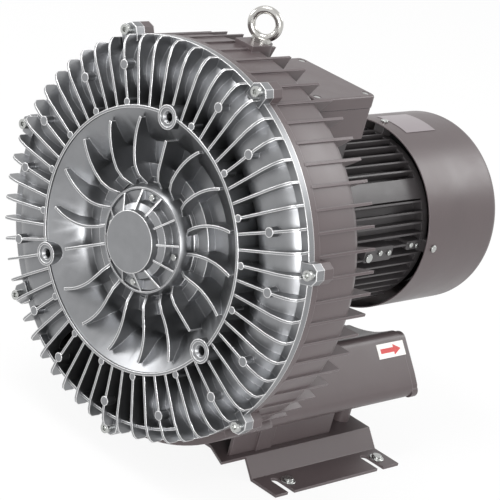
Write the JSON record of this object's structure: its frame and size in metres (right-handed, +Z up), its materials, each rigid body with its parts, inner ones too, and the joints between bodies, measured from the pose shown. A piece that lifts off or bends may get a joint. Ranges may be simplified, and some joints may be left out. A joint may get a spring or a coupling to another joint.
{
  "type": "side channel blower",
  "caption": "Side channel blower with a finned motor, a ribbed bare impeller cover, two silencers with threaded ports, sheet metal feet and a lifting eye.",
  "frame": {"origin": "centre of the bounding box in plan, on the plane of the feet's underside; the shaft runs along Y 0.290 m above it", "axes": "+Z up, +Y from the impeller cover to the motor's fan cowl, +X to the right seen from the cover"},
  "size_m": [0.5191, 0.581, 0.589],
  "materials": {
    "bare_casting": "bare pressure die casting",
    "painted_casting": "aluminium casting under satin warm grey paint",
    "painted_sheet": "satin warm grey paint over steel sheet",
    "frame_paint": "aluminium casting under dark grey satin paint",
    "impeller_casting": "machined casting",
    "steel": "machined",
    "zinc_steel": "zinc plated",
    "eye_steel": "bright zinc plated forging",
    "laminations": "varnished lamination stack",
    "copper": "varnished copper wire",
    "brass": "bright",
    "rubber": "moulded",
    "gasket_sheet": "fibre sheet",
    "foam": "open cell foam",
    "black_plastic": "moulded",
    "label": "printed film",
    "cage_plastic": "moulded polyamide"
  },
  "bodies": {
    "casing": {"front_cover": "bare_casting", "hub_screws": "zinc_steel", "cover_screws": "zinc_steel", "housing": "painted_casting", "front_bearing_outer_race": "steel", "rear_bearing_outer_race": "steel", "shaft_seal": "rubber", "bearing_retainer": "steel", "retainer_screws": "zinc_steel", "wave_washer": "steel", "stator_core": "laminations", "stator_windings": "copper", "motor_frame": "frame_paint", "frame_screws": "zinc_steel", "end_shield": "frame_paint", "shield_screws": "zinc_steel", "fan_cowl": "painted_sheet", "cowl_screws": "zinc_steel", "earth_screws": "zinc_steel", "terminal_box": "painted_casting", "box_gasket": "rubber", "box_lid": "painted_casting", "lid_screws": "zinc_steel", "box_screws": "zinc_steel", "terminal_block": "black_plastic", "terminal_studs": "brass", "cable_gland": "black_plastic", "blanking_plug": "black_plastic", "lifting_eye": "eye_steel", "silencer_right": "painted_casting", "silencer_left": "painted_casting", "silencer_liners": "foam", "duct_gaskets": "gasket_sheet", "port_gaskets": "gasket_sheet", "port_flange_right": "painted_casting", "port_flange_left": "painted_casting", "duct_bolts": "zinc_steel", "flow_labels": "label", "cowl_label": "label", "foot_right": "painted_sheet", "foot_left": "painted_sheet", "foot_bracket_right": "painted_sheet", "foot_bracket_left": "painted_sheet", "foot_screws": "zinc_steel", "foot_bolts": "zinc_steel"},
    "rotor": {"shaft": "steel", "impeller": "impeller_casting", "impeller_key": "steel", "impeller_washer": "steel", "impeller_screw": "zinc_steel", "rotor_core": "laminations", "fan": "black_plastic", "fan_key": "steel", "fan_clip": "steel", "front_bearing_inner_race": "steel", "rear_bearing_inner_race": "steel"},
    "front_cage": {"front_bearing_balls": "steel", "front_bearing_cage": "cage_plastic"},
    "rear_cage": {"rear_bearing_balls": "steel", "rear_bearing_cage": "cage_plastic"}
  },
  "joints": [
    {"name": "rotor_spin", "type": "hinge", "parent": "casing", "child": "rotor", "pos_m": [0, 0, 0.29], "axis": [0, 1, 0], "continuous": true},
    {"name": "front_cage_spin", "type": "hinge", "parent": "casing", "child": "front_cage", "pos_m": [0, 0, 0.29], "axis": [0, 1, 0], "continuous": true},
    {"name": "rear_cage_spin", "type": "hinge", "parent": "casing", "child": "rear_cage", "pos_m": [0, 0, 0.29], "axis": [0, 1, 0], "continuous": true}
  ],
  "couplings": [
    {"joint": "front_cage_spin", "follows": "rotor_spin", "ratio": 0.38462},
    {"joint": "rear_cage_spin", "follows": "rotor_spin", "ratio": 0.38348}
  ]
}
